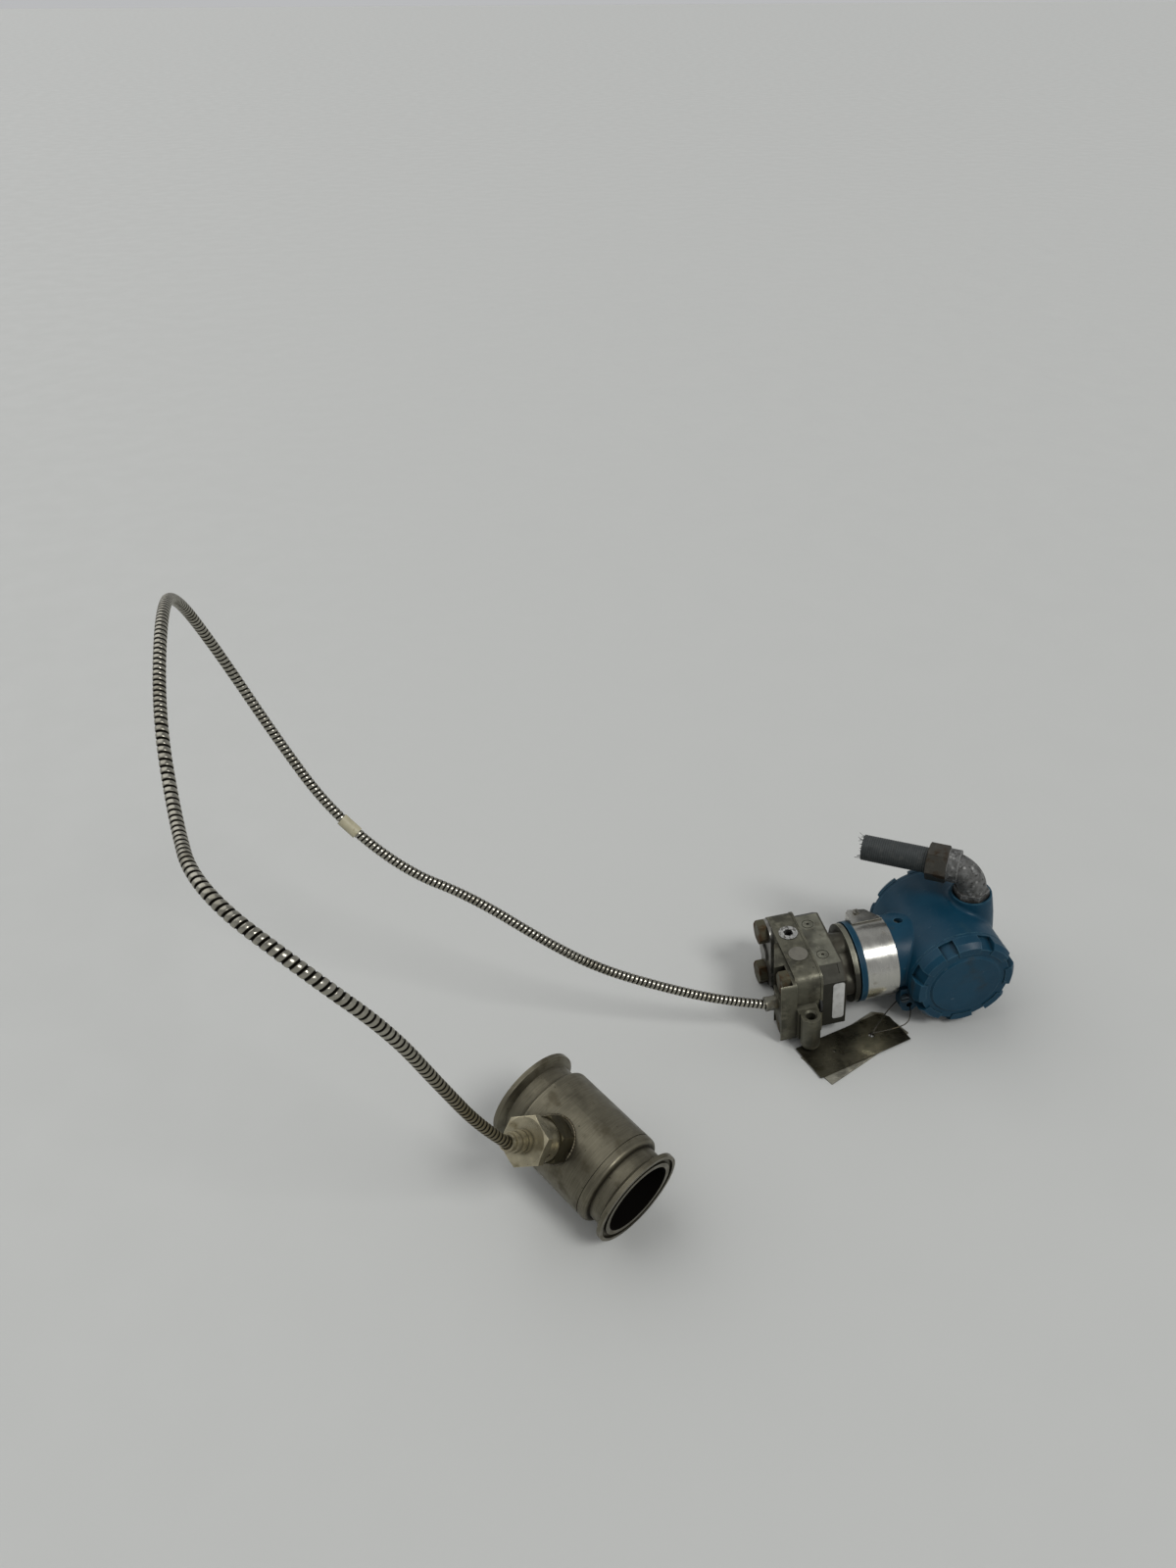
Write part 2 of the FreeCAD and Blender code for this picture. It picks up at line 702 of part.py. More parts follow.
def bolt_way(y, z):
    """Clearance hole for a bolt through the seat and the flange."""
    seat = V(flange_start - seat_thickness, y, z)
    return rod(bolt_diameter + 2 * bolt_clearance, seat, V(module_start, y, z))


def flange_bolts():
    return Part.makeCompound([bolt(y, z) for y, z in bolt_places])


def vent_plug():
    top = V(vent_x, vent_spacing / 2, block_half_height)
    body = rod(vent_plug_diameter, top - Z * vent_plug_depth, top + Z * vent_plug_rise)
    return body.cut(aimed(hexagon(vent_socket, vent_plug_depth), top - Z * vent_socket_depth, Z))


def blanking_disc():
    top = V(vent_x, -vent_spacing / 2, block_half_height)
    return rod(vent_plug_diameter, top - Z * vent_plug_depth, top + Z * blanking_disc_rise)


def module_label():
    corner = V(label_x, -block_half_width - label_thickness, label_z)
    return brick(corner, corner + V(label_width, label_thickness, label_height))


adapter_face = flange_start - adapter_thickness
adapter_top = bolt_spacing / 2 + adapter_above
adapter_bottom = -bolt_spacing / 2 - adapter_below


def capillary_adapter():
    """Plate whose outer face slopes down to a thin rear end, notched for two bolt heads."""
    toe = flange_start - adapter_toe
    outline = [(flange_start, adapter_rear), (toe, adapter_rear), (adapter_face, adapter_knee),
               (adapter_face, adapter_front), (flange_start, adapter_front)]
    points = [V(x, y, adapter_bottom) for x, y in outline]
    body = Part.Face(Part.makePolygon(points + points[:1])).extrude(Z * (adapter_top - adapter_bottom))
    body = rounded(body, adapter_rounding)
    reach = bolt_across / math.sqrt(3) + notch_gap
    port_y_front = -port_spacing / 2
    for side in (1, -1):
        z = side * bolt_spacing / 2
        ends = sorted((z - side * reach, side * block_half_height))
        low = V(adapter_face, port_y_front - reach, ends[0])
        high = V(flange_start - seat_thickness, port_y_front + reach, ends[1])
        body = body.cut(brick(low, high)).cut(bolt_way(port_y_front, z))
    way = V(adapter_face, port_y_front, crimp_z)
    return body.cut(rod(capillary_bore, way, way + X * adapter_thickness))


def blank_plate():
    """Plate under two bolts with a low round boss over the second port."""
    face = flange_start - seat_thickness
    port = port_spacing / 2
    low = V(face, port + blank_front, -blank_half_height)
    body = rounded(brick(low, V(flange_start, port + blank_rear, blank_half_height)), blank_rounding)
    boss = V(face, port, 0)
    body = body.fuse(rod(blank_boss, boss, boss - X * blank_boss_height))
    for z in (bolt_spacing / 2, -bolt_spacing / 2):
        body = body.cut(bolt_way(port, z))
    return body


def capillary_crimp():
    start = V(adapter_face, -port_spacing / 2, crimp_z)
    collar = rod(crimp_diameter, start - X * crimp_length, start)
    for step in range(crimp_flats):
        flat = brick(V(adapter_face - crimp_length + crimp_front_land, -crimp_flat_width / 2,
                       crimp_diameter / 2 - crimp_flat_depth),
                     V(adapter_face - crimp_rear_land, crimp_flat_width / 2, crimp_diameter))
        flat.rotate(V(0, 0, 0), X, 360.0 * step / crimp_flats)
        flat.translate(V(0, start.y, start.z))
        collar = collar.cut(flat)
    mouth = start - X * crimp_length
    return collar.cut(rod(armour_socket, mouth, mouth + X * armour_socket_depth))


# Conduit fittings on the upper port
outlet = V(math.cos(math.radians(elbow_heading)), math.sin(math.radians(elbow_heading)), 0)
elbow_seat = V(port_x, port_y, port_reach - spotface_depth)
outlet_axis = V(port_x, port_y, port_reach + elbow_rise)


def on_outlet(distance):
    return outlet_axis + outlet * distance


def elbow_run(diameter):
    """Vertical leg, quarter bend and outlet leg of the elbow as one round bar."""
    bend_low = outlet_axis - Z * elbow_bend
    bend_high = outlet_axis + outlet * elbow_bend
    centre = outlet_axis - Z * elbow_bend + outlet * elbow_bend
    middle = centre + (Z - outlet).normalize() * elbow_bend
    path = Part.Wire([Part.LineSegment(elbow_seat, bend_low).toShape(),
                      Part.Arc(bend_low, middle, bend_high).toShape(),
                      Part.LineSegment(bend_high, on_outlet(elbow_collar_end)).toShape()])
    section = Part.Wire(Part.makeCircle(diameter / 2, elbow_seat, Z))
    return path.makePipeShell([section], True, True)


def conduit_elbow():
    body = elbow_run(elbow_diameter)
    foot = aimed(hexagon(elbow_hex, elbow_hex_height), elbow_seat, Z)
    collar_start = on_outlet(elbow_collar_end - elbow_collar_width)
    collar = rod(elbow_collar, collar_start, on_outlet(elbow_collar_end))
    nipple = rod(port_diameter - 2 * seat_gap, elbow_seat - Z * nipple_length, elbow_seat)
    body = body.fuse(foot).fuse(collar).fuse(nipple)
    body = body.cut(elbow_run(elbow_bore))
    return body.cut(rod(elbow_bore, elbow_seat - Z * nipple_length, elbow_seat))


def conduit_nut():
    body = hex_bar(gland_across, on_outlet(elbow_collar_end), on_outlet(gland_end), gland_chamfer)
    return body.cut(rod(stub_diameter + 2 * seat_gap, on_outlet(elbow_collar_end), on_outlet(gland_end)))


def conduit_jacket():
    return ring(stub_diameter, stub_bore + 2 * stub_liner, on_outlet(elbow_collar_end), on_outlet(stub_end))


def conduit_liner():
    end = on_outlet(stub_end - liner_set_back)
    return ring(stub_bore + 2 * stub_liner, stub_bore, on_outlet(elbow_collar_end), end)


def lower_port_plug():
    low = V(port_x, port_y, -port_reach + spotface_depth)
    body = rod(port_diameter - 2 * seat_gap, low, low + Z * nipple_length)
    return body.cut(aimed(hexagon(port_plug_socket, port_plug_socket_depth), low, Z))


# In-line seal
seal_end = seal_length / 2
fitting_axis = V(0, -math.cos(math.radians(fitting_tilt)), math.sin(math.radians(fitting_tilt)))


def on_fitting(distance):
    return V(fitting_at, 0, 0) + fitting_axis * distance


def seal_body():
    rim = ferrule_diameter / 2
    tube = tube_diameter / 2
    bore = bore_diameter / 2
    body = body_diameter / 2
    shell = turned([(-seal_end, bore), (-seal_end, rim), (-seal_end + ferrule_rim, rim),
                    (-seal_end + ferrule_rim + ferrule_taper, tube), (body_start, tube), (body_start, body),
                    (body_end, body), (body_end, tube), (seal_end - ferrule_rim - ferrule_taper, tube),
                    (seal_end - ferrule_rim, rim), (seal_end, rim), (seal_end, bore)])
    corners = [edge for edge in shell.Edges if on_circle(edge, body, (body_start, body_end))]
    shell = shell.makeFillet(shoulder, corners)
    pad = rod(pad_diameter, on_fitting(bore), on_fitting(pad_end))
    shell = shell.fuse(pad).cut(rod(bore_diameter, X * -seal_end, X * seal_end))
    mark = X * (body_end - mark_inset)
    shell = shell.cut(ring(ferrule_diameter, body_diameter - 2 * mark_depth, mark - X * mark_width, mark))
    for side in (1, -1):
        face = X * (side * seal_end)
        floor = X * (side * (seal_end - gasket_groove_depth))
        shell = shell.cut(ring(gasket_groove + gasket_groove_width, gasket_groove - gasket_groove_width,
                               floor, face))
    recess = bore_diameter + 2 * (sleeve_wall + fill_gap)
    shell = shell.cut(rod(recess, V(-sleeve_length / 2, 0, 0), V(sleeve_length / 2, 0, 0)))
    return shell.cut(rod(capillary_bore, on_fitting(bore), on_fitting(pad_end)))


def on_circle(edge, radius, places):
    if edge.Curve.TypeId != "Part::GeomCircle":
        return False
    near = [at for at in places if abs(edge.CenterOfMass.x - at) < 0.01]
    return bool(near) and abs(edge.Curve.Radius - radius) < 0.01


def diaphragm_sleeve():
    """Thin tubular diaphragm that lines the bore, with a lip that seats at each end."""
    wall = bore_diameter + 2 * sleeve_wall
    body = ring(wall, bore_diameter, V(-sleeve_length / 2, 0, 0), V(sleeve_length / 2, 0, 0))
    for start in (-sleeve_length / 2, sleeve_length / 2 - sleeve_lip):
        body = body.fuse(ring(wall + 2 * fill_gap, bore_diameter, X * start, X * (start + sleeve_lip)))
    return body


def seal_hex():
    body = hex_bar(hex_across, on_fitting(pad_end), on_fitting(hex_end), hex_chamfer)
    return body.cut(rod(capillary_bore, on_fitting(pad_end), on_fitting(hex_end)))


def seal_nut():
    body = hex_bar(nut_across, on_fitting(collar_end), on_fitting(nut_end), nut_chamfer)
    body = body.fuse(rod(collar_diameter, on_fitting(hex_end), on_fitting(collar_end)))
    body = body.cut(rod(capillary_bore, on_fitting(hex_end), on_fitting(nut_end)))
    weep = on_fitting(hex_end + weep_from_hex)
    return body.cut(rod(weep_hole, weep, weep + X * nut_across))


def seal_stub():
    outline = [(nut_end, capillary_bore / 2)]
    start = nut_end
    for radius, end in stub_steps:
        outline += [(start, radius), (end, radius)]
        start = end
    floor = start - armour_socket_depth
    outline += [(start, armour_socket / 2), (floor, armour_socket / 2), (floor, capillary_bore / 2)]
    return aimed(turned(outline), on_fitting(0), fitting_axis)


# Capillary in the frame of the whole part
def capillary_route():
    """Points of the armour's route, from the transmitter to the seal."""
    first = transmitter_place.multVec(V(adapter_face - crimp_length, -port_spacing / 2, crimp_z))
    last = seal_place.multVec(on_fitting(stub_steps[-1][1]))
    return [first] + armour_route + [last]


def rounded_path(points):
    """Straight runs joined by tangent arcs, each as large as its two runs allow."""
    edges = []
    radii = []
    start = points[0]
    for before, corner, after in zip(points, points[1:], points[2:]):
        into = (corner - before).normalize()
        out = (after - corner).normalize()
        turn = into.getAngle(out)
        reach = 0.45 * min((corner - before).Length, (after - corner).Length)
        radii.append(reach / math.tan(turn / 2))
        first = corner - into * reach
        last = corner + out * reach
        centre = corner + (out - into).normalize() * (radii[-1] / math.cos(turn / 2))
        middle = centre + (corner - centre).normalize() * radii[-1]
        edges.append(Part.LineSegment(start, first).toShape())
        edges.append(Part.Arc(first, middle, last).toShape())
        start = last
    edges.append(Part.LineSegment(start, points[-1]).toShape())
    return Part.Wire(edges), radii


def capillary_armour():
    points = capillary_route()
    path, radii = rounded_path(points)
    section = Part.Wire(Part.makeCircle(armour_diameter / 2, points[0], points[1] - points[0]))
    tube = path.makePipeShell([section], True, True)
    expected = math.pi * armour_diameter ** 2 / 4 * path.Length
    print("armour length %.0f, volume ratio %.4f" % (path.Length, tube.Volume / expected))
    print("armour radii", [round(radius) for radius in radii])
    return tube


def splice_sleeve():
    """Short straight sleeve over the armour."""
    path, radii = rounded_path(capillary_route())
    points = path.discretize(Distance=1.0)
    step = round(splice_at * (len(points) - 1) / path.Length)
    along = (points[step + 1] - points[step - 1]).normalize() * (splice_length / 2)
    return ring(splice_diameter, splice_bore, points[step] - along, points[step] + along)


# Tags in the frame of the whole part
tag_knot = V(tag_knot_x, tag_knot_y, 0)


def tag(angle, from_end, from_edge, height, small_holes):
    """Plate with one cut corner, turned about its hole."""
    points = [V(0, 0, 0), V(tag_length, 0, 0), V(tag_length, tag_width - tag_corner, 0),
              V(tag_length - tag_corner, tag_width, 0), V(0, tag_width, 0)]
    plate = Part.Face(Part.makePolygon(points + points[:1])).extrude(Z * tag_thickness)
    hole = V(tag_length - from_end, from_edge, 0)
    plate = plate.cut(rod(tag_hole, hole, hole + Z * tag_thickness))
    for place in small_holes:
        plate = plate.cut(rod(tag_small_hole, hole - place, hole - place + Z * tag_thickness))
    plate.translate(-hole)
    plate.rotate(V(0, 0, 0), Z, angle)
    plate.translate(tag_knot + Z * height)
    return plate


def upper_tag():
    small_holes = [X * tag_hole_pitch]
    return tag(upper_tag_angle, upper_hole_end, upper_hole_edge, tag_thickness, small_holes)


def lower_tag():
    return tag(lower_tag_angle, lower_hole_end, lower_hole_edge, 0, [])


def tag_wire():
    """Wire from the tags up through the housing's lug and back."""
    front = transmitter_place.multVec(tie_lug) + wire_front
    eye = transmitter_place.multVec(tie_lug + Y * tie_lug_length / 2)
    back = transmitter_place.multVec(tie_lug + Y * tie_lug_length) + wire_back
    rise = [tag_knot + point for point in wire_up]
    fall = [tag_knot + point for point in wire_down]
    path, radii = rounded_path(rise + [front, eye, back] + fall)
    print("tag wire radii", [round(radius, 1) for radius in radii])
    section = Part.Wire(Part.makeCircle(wire_diameter / 2, rise[0], rise[1] - rise[0]))
    return path.makePipeShell([section], True, True)


# Build
transmitter_nodes = {
    "electronics_housing": electronics_housing,
    "front_cover": front_cover,
    "rear_cover": rear_cover,
    "front_cover_seal": lambda: cover_seal(barrel_front, Y),
    "rear_cover_seal": lambda: cover_seal(rear_reach, -Y),
    "nameplate_band": nameplate_band,
    "nameplate_screw": nameplate_screw,
    "rotation_set_screw": rotation_set_screw,
    "ground_screw": ground_screw,
    "electronics_module": electronics_module,
    "terminal_block": terminal_block,
    "terminal_screws": terminal_screws,
    "sensor_module": sensor_module,
    "neck_seal": neck_seal,
    "module_label": module_label,
    "process_flange": process_flange,
    "process_gaskets": process_gaskets,
    "flange_bolts": flange_bolts,
    "vent_plug": vent_plug,
    "blanking_disc": blanking_disc,
    "capillary_adapter": capillary_adapter,
    "blank_plate": blank_plate,
    "capillary_crimp": capillary_crimp,
    "conduit_elbow": conduit_elbow,
    "conduit_nut": conduit_nut,
    "conduit_jacket": conduit_jacket,
    "conduit_liner": conduit_liner,
    "lower_port_plug": lower_port_plug,
}
seal_nodes = {
    "seal_body": seal_body,
    "diaphragm_sleeve": diaphragm_sleeve,
    "seal_hex": seal_hex,
    "seal_nut": seal_nut,
    "seal_stub": seal_stub,
}
loose_nodes = {
    "capillary_armour": capillary_armour,
    "splice_sleeve": splice_sleeve,
    "upper_tag": upper_tag,
    "lower_tag": lower_tag,
    "tag_wire": tag_wire,
}


def write(nodes, place):
    for name, make in nodes.items():
        shape = make()
        shape.Placement = place.multiply(shape.Placement)
        shape.exportStep("parts/%s.step" % name)


os.makedirs("parts", exist_ok=True)
write(transmitter_nodes, transmitter_place)
write(seal_nodes, seal_place)
write(loose_nodes, FreeCAD.Placement())
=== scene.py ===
import bmesh
import bpy
import math
import random
from mathutils import Euler, Matrix, Vector


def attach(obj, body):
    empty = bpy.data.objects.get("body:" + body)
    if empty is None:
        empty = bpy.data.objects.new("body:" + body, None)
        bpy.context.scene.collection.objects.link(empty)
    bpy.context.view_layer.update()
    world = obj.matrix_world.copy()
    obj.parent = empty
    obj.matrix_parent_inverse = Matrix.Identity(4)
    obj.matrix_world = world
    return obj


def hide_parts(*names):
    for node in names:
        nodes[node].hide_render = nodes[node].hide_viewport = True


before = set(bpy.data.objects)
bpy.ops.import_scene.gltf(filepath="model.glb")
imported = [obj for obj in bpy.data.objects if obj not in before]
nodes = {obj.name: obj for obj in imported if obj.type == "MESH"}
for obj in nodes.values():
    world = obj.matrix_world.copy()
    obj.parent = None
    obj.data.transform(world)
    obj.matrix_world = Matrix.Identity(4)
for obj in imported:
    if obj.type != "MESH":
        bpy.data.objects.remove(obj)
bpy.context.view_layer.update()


# Places of the transmitter and the seal, in metres, as in the part's source
def placed(at, turn):
    """Matrix from a turned frame to the row frame."""
    return Matrix.Translation(at) @ turn.to_matrix().to_4x4()


transmitter_at = Vector((0.152297, 0.062544, 0.041137))
transmitter_turn = Euler((0, math.radians(-5.254), 0))
transmitter = placed(transmitter_at, transmitter_turn)
on_transmitter = (transmitter_at, transmitter_turn)
seal_at = Vector((-0.139503, -0.062954, 0.038143))
seal_turn = Euler((0, math.radians(7.7), math.radians(-56.6)))
seal = placed(seal_at, seal_turn)
on_seal = (seal_at, seal_turn)

# Side fitting of the seal: its place along the seal and its directions across it
fitting_at = -0.006
fitting_tilt = math.radians(44)
fitting_up = Vector((0, -math.cos(fitting_tilt), math.sin(fitting_tilt)))
fitting_side = Vector((0, math.sin(fitting_tilt), math.cos(fitting_tilt)))


# Materials
class Look:
    """One procedural material. Lengths are in metres.

    Its points are in the row frame, or in the frame that place gives as a point and a turn.
    """

    def __init__(self, name, colour, roughness, metallic=0.0, place=None):
        self.material = bpy.data.materials.new(name)
        self.material.use_nodes = True
        self.tree = self.material.node_tree
        self.shader = self.tree.nodes["Principled BSDF"]
        self.shader.inputs["Metallic"].default_value = metallic
        self.point = self.add("ShaderNodeTexCoord").outputs["Object"]
        if place:
            at, turn = place
            moved = {"Vector": self.point, "Location": at, "Rotation": turn}
            self.point = self.add("ShaderNodeMapping", moved, vector_type="TEXTURE").outputs[0]
        self.colour = (*colour, 1)
        self.roughness = roughness
        self.height = None

    def add(self, kind, inputs=None, **settings):
        """A node with these inputs, each a value or another node's output."""
        node = self.tree.nodes.new(kind)
        for key, value in settings.items():
            setattr(node, key, value)
        for key, value in (inputs or {}).items():
            self.give(node.inputs[key], value)
        return node

    def give(self, socket, value):
        if isinstance(value, bpy.types.NodeSocket):
            self.tree.links.new(value, socket)
        else:
            socket.default_value = value

    def noise(self, size, detail=3.0, stretch=None):
        """Blotches of about this size, from 0 to 1."""
        point = self.point
        if stretch:
            point = self.add("ShaderNodeMapping", {"Vector": point, "Scale": stretch}).outputs[0]
        inputs = {"Vector": point, "Scale": 1 / size, "Detail": detail}
        return self.add("ShaderNodeTexNoise", inputs).outputs["Fac"]

    def cells(self, size):
        """Distance to the nearest of scattered points, in sizes."""
        inputs = {"Vector": self.point, "Scale": 1 / size}
        return self.add("ShaderNodeTexVoronoi", inputs).outputs["Distance"]

    def fit(self, value, low, high, first=0.0, last=1.0):
        """Goes smoothly from first to last as the value goes from low to high."""
        inputs = {"Value": value, "From Min": low, "From Max": high, "To Min": first, "To Max": last}
        return self.add("ShaderNodeMapRange", inputs, interpolation_type="SMOOTHSTEP").outputs[0]

    def patches(self, size, detail, low, high, least=0.0, most=1.0, stretch=None):
        """Share from least to most, where noise of this size goes from low to high."""
        return self.fit(self.noise(size, detail, stretch), low, high, least, most)

    def calculate(self, operation, *values):
        return self.add("ShaderNodeMath", dict(enumerate(values)), operation=operation).outputs[0]

    def share(self, first, second):
        return self.calculate("MULTIPLY", first, second)

    def along(self, axis):
        """Distance along one axis of the look's frame."""
        return self.add("ShaderNodeSeparateXYZ", {0: self.point}).outputs[axis]

    def value(self, name):
        """A number that the mesh carries at each point."""
        return self.add("ShaderNodeAttribute", attribute_name=name).outputs["Fac"]

    def radius(self):
        """Distance from the X axis of the look's frame."""
        across = {0: self.point, 1: (0, 1, 1)}
        flat = self.add("ShaderNodeVectorMath", across, operation="MULTIPLY").outputs[0]
        return self.add("ShaderNodeVectorMath", {0: flat}, operation="LENGTH").outputs["Value"]

    def edges(self, width):
        """1 on sharp edges, 0 away from them."""
        flat, sharp = 0.995, 0.80
        soft = self.add("ShaderNodeBevel", {"Radius": width}, samples=4).outputs[0]
        hard = self.add("ShaderNodeNewGeometry").outputs["Normal"]
        both = {0: soft, 1: hard}
        dot = self.add("ShaderNodeVectorMath", both, operation="DOT_PRODUCT").outputs["Value"]
        return self.fit(dot, flat, sharp)

    def hollows(self, reach):
        """1 in corners and gaps, 0 on open faces."""
        open_face, corner = 0.85, 0.35
        seen = self.add("ShaderNodeAmbientOcclusion", {"Distance": reach}, samples=8).outputs["AO"]
        return self.fit(seen, open_face, corner)

    def paint(self, share, colour, roughness=None):
        """Lays a colour, and a roughness, over what is there."""
        self.colour = self.over(share, self.colour, (*colour, 1), "RGBA")
        if roughness is not None:
            self.roughness = self.over(share, self.roughness, roughness, "FLOAT")

    def over(self, share, first, second, kind):
        """Mix of two values, the second one by its share."""
        mix = self.add("ShaderNodeMix", data_type=kind)
        ends = [socket for socket in mix.inputs if socket.enabled]
        for socket, value in zip(ends, (share, first, second)):
            self.give(socket, value)
        return [socket for socket in mix.outputs if socket.enabled][0]

    def shine(self, value, low, high):
        """Roughness from low to high, over the middle half of the value's range."""
        self.roughness = self.fit(value, 0.25, 0.75, low, high)

    def relief(self, height, depth):
        """Adds a height of this depth, in metres, to the bump."""
        deep = self.share(height, depth)
        self.height = deep if self.height is None else self.calculate("ADD", self.height, deep)

    def done(self):
        """The finished material."""
        self.give(self.shader.inputs["Base Color"], self.colour)
        self.give(self.shader.inputs["Roughness"], self.roughness)
        if self.height is not None:
            bump = self.add("ShaderNodeBump", {"Height": self.height, "Strength": 1.0, "Distance": 1.0})
            self.give(self.shader.inputs["Normal"], bump.outputs[0])
        return self.material


def tinted(colour, factor):
    """The colour made darker or lighter, no lighter than white."""
    return [min(1.0, factor * value) for value in colour]


def enamel():
    """Satin teal-blue enamel over a casting, scuffed and lighter at its edges (wear and painted highlight),
    with grime in patches and painted shade in its corners.
    """
    teal = (0.0035, 0.034, 0.062)
    faded = (0.005, 0.042, 0.075)
    scuffed = (0.014, 0.046, 0.066)
    edge_wear_and_highlight = (0.050, 0.125, 0.170)
    scratched = (0.070, 0.110, 0.130)
    shaded = (0.0015, 0.007, 0.011)
    grimy = (0.026, 0.026, 0.020)
    look = Look("enamel", teal, 0.42)
    look.shader.inputs["Specular IOR Level"].default_value = 0.18
    look.paint(look.patches(0.03, 3, 0.35, 0.7), faded)
    look.shine(look.noise(0.012), 0.34, 0.50)
    look.paint(look.patches(0.018, 6, 0.62, 0.75, most=0.5), scuffed, 0.6)
    # Lighter, rougher edges: partly wear, partly a painted highlight along the edges.
    wear_and_highlight = look.share(look.edges(0.0011), look.patches(0.006, 5, 0.36, 0.60, least=0.25))
    look.paint(wear_and_highlight, edge_wear_and_highlight, 0.5)
    scratches = look.patches(0.010, 2, 0.715, 0.735, most=0.5, stretch=(1.0, 9.0, 1.4))
    look.paint(scratches, scratched, 0.6)
    # Painted shade: darker in corners and gaps.
    look.paint(look.share(look.hollows(0.006), 0.8), shaded, 0.7)
    look.paint(look.patches(0.032, 7, 0.64, 0.74, most=0.5), grimy, 0.7)
    look.relief(look.noise(0.0011), 0.00006)
    look.relief(look.noise(0.006, 4), 0.00012)
    return look.done()


def stainless(name, colour, roughness, place=None, lines=None, stain=(0.20, 0.16, 0.09), grain=0.0009,
              depth=0.00003, corner_shade=0.8, metallic=0.9, blotch=1.0):
    """Stainless steel with fine tool lines or cast grain, stains, specks, edges lighter as wear and painted
    highlight, and painted shade in its corners.

    lines is the stretch of its tool lines, grain and depth are the size of its grain in metres, the argument
    after depth is how strong its painted shade in corners is, and blotch how strong its mottling is. More
    may be laid over it before it is done.
    """
    look = Look(name, colour, roughness, metallic, place)
    light = tinted(colour, 1.55)
    look.paint(look.patches(0.02, 5, 0.43, 0.63, most=blotch), tinted(colour, 0.50))
    look.paint(look.patches(0.007, 6, 0.5, 0.72, most=0.8 * blotch), light)
    look.shine(look.noise(0.008, 5), roughness - 0.08, roughness + 0.14)
    if lines:
        fine = look.noise(0.004, 2, lines)
        look.paint(look.fit(fine, 0.35, 0.75, 0, 0.5), light)
        look.relief(fine, 0.00002)
    dull = roughness + 0.2
    look.paint(look.patches(0.012, 7, 0.54, 0.72, most=0.75), stain, dull)
    look.paint(look.patches(0.0022, 5, 0.66, 0.74, most=0.7), tinted(stain, 0.5), dull)
    # Lighter, smoother edges: partly wear, partly a painted highlight along the edges.
    wear_and_highlight = look.share(look.edges(0.0008), look.patches(0.004, 4, 0.35, 0.6, least=0.3))
    look.paint(wear_and_highlight, tinted(colour, 1.9), max(0.2, roughness - 0.14))
    # Painted shade: darker, in the stain's colour, in corners and gaps.
    look.paint(look.share(look.hollows(0.006), corner_shade), tinted(stain, 0.22), 0.85)
    look.relief(look.noise(grain, 3), depth)
    return look


def rusted(name, colour, rust, amount, metallic=0.6):
    """Plated steel with rust that has broken through in patches, and painted shade in its corners."""
    look = Look(name, colour, 0.55, metallic)
    look.paint(look.patches(0.004, 5, 0.45, 0.7), tinted(colour, 1.35), 0.45)
    eased = 0.3 * amount
    broken = look.patches(0.008, 7, 0.62 - eased, 0.80 - eased)
    look.paint(broken, rust, 0.88)
    edge = look.share(look.edges(0.0012), look.patches(0.005, 5, 0.4, 0.6))
    look.paint(look.share(edge, 0.8), tinted(rust, 1.25), 0.85)
    # Painted shade: dark rust-brown in corners and gaps.
    look.paint(look.share(look.hollows(0.004), 0.7), tinted(rust, 0.3), 0.9)
    look.relief(look.noise(0.0014, 6), 0.00012)
    look.relief(broken, 0.00008)
    return look.done()


def moulded(name, colour, roughness, speck=None):
    """Plain moulded plastic or rubber with a fine surface and dust, and painted shade in its hollows."""
    look = Look(name, colour, roughness)
    look.paint(look.patches(0.006, 5, 0.4, 0.75), tinted(colour, 0.8))
    look.shine(look.noise(0.004, 4), roughness - 0.08, roughness + 0.1)
    if speck:
        look.paint(look.patches(0.0035, 6, 0.58, 0.74, most=0.7), speck, roughness + 0.15)
    # Painted shade: darker in corners and gaps.
    look.paint(look.share(look.hollows(0.003), 0.5), tinted(colour, 0.35), 0.85)
    look.relief(look.noise(0.0008, 3), 0.00003)
    return look.done()


def cast_elbow():
    """Rough grey casting, mottled light and dark, with worn bright spots, edges lighter as wear and painted
    highlight, and painted shade in its corners.
    """
    grey = (0.085, 0.085, 0.080)
    pale = (0.130, 0.131, 0.126)
    dark = (0.036, 0.036, 0.033)
    bright = (0.26, 0.26, 0.25)
    edge_wear_and_highlight = (0.34, 0.34, 0.33)
    corner_shade = (0.025, 0.023, 0.020)
    look = Look("elbow_metal", grey, 0.6, 0.4)
    look.paint(look.patches(0.004, 7, 0.44, 0.60), pale, 0.5)
    look.paint(look.patches(0.0026, 6, 0.56, 0.68), dark, 0.75)
    look.paint(look.fit(look.cells(0.0045), 0.34, 0.14, 0, 0.8), bright, 0.45)
    # Lighter edges: partly wear, partly a painted highlight along the edges.
    look.paint(look.share(look.edges(0.0012), 0.8), edge_wear_and_highlight, 0.45)
    # Painted shade: darker in corners and gaps.
    look.paint(look.share(look.hollows(0.005), 0.75), corner_shade, 0.9)
    look.relief(look.noise(0.0035, 5), 0.0008)
    look.relief(look.noise(0.0011, 4), 0.0002)
    return look.done()


def turned_seal():
    """Satin turned steel with painted shade in its corners, near black inside its bore."""
    bore_edge, bore_inside = 0.02395, 0.0238
    look = stainless("seal_steel", (0.140, 0.128, 0.092), 0.38, on_seal, lines=(9, 0.35, 0.35),
                     stain=(0.080, 0.068, 0.043), blotch=0.4)
    # Painted shade: darker in corners and gaps.
    look.paint(look.share(look.hollows(0.012), 0.75), (0.020, 0.017, 0.010), 0.7)
    # Near black inside the bore.
    look.paint(look.fit(look.radius(), bore_edge, bore_inside), (0.005, 0.004, 0.003), 0.9)
    return look.done()


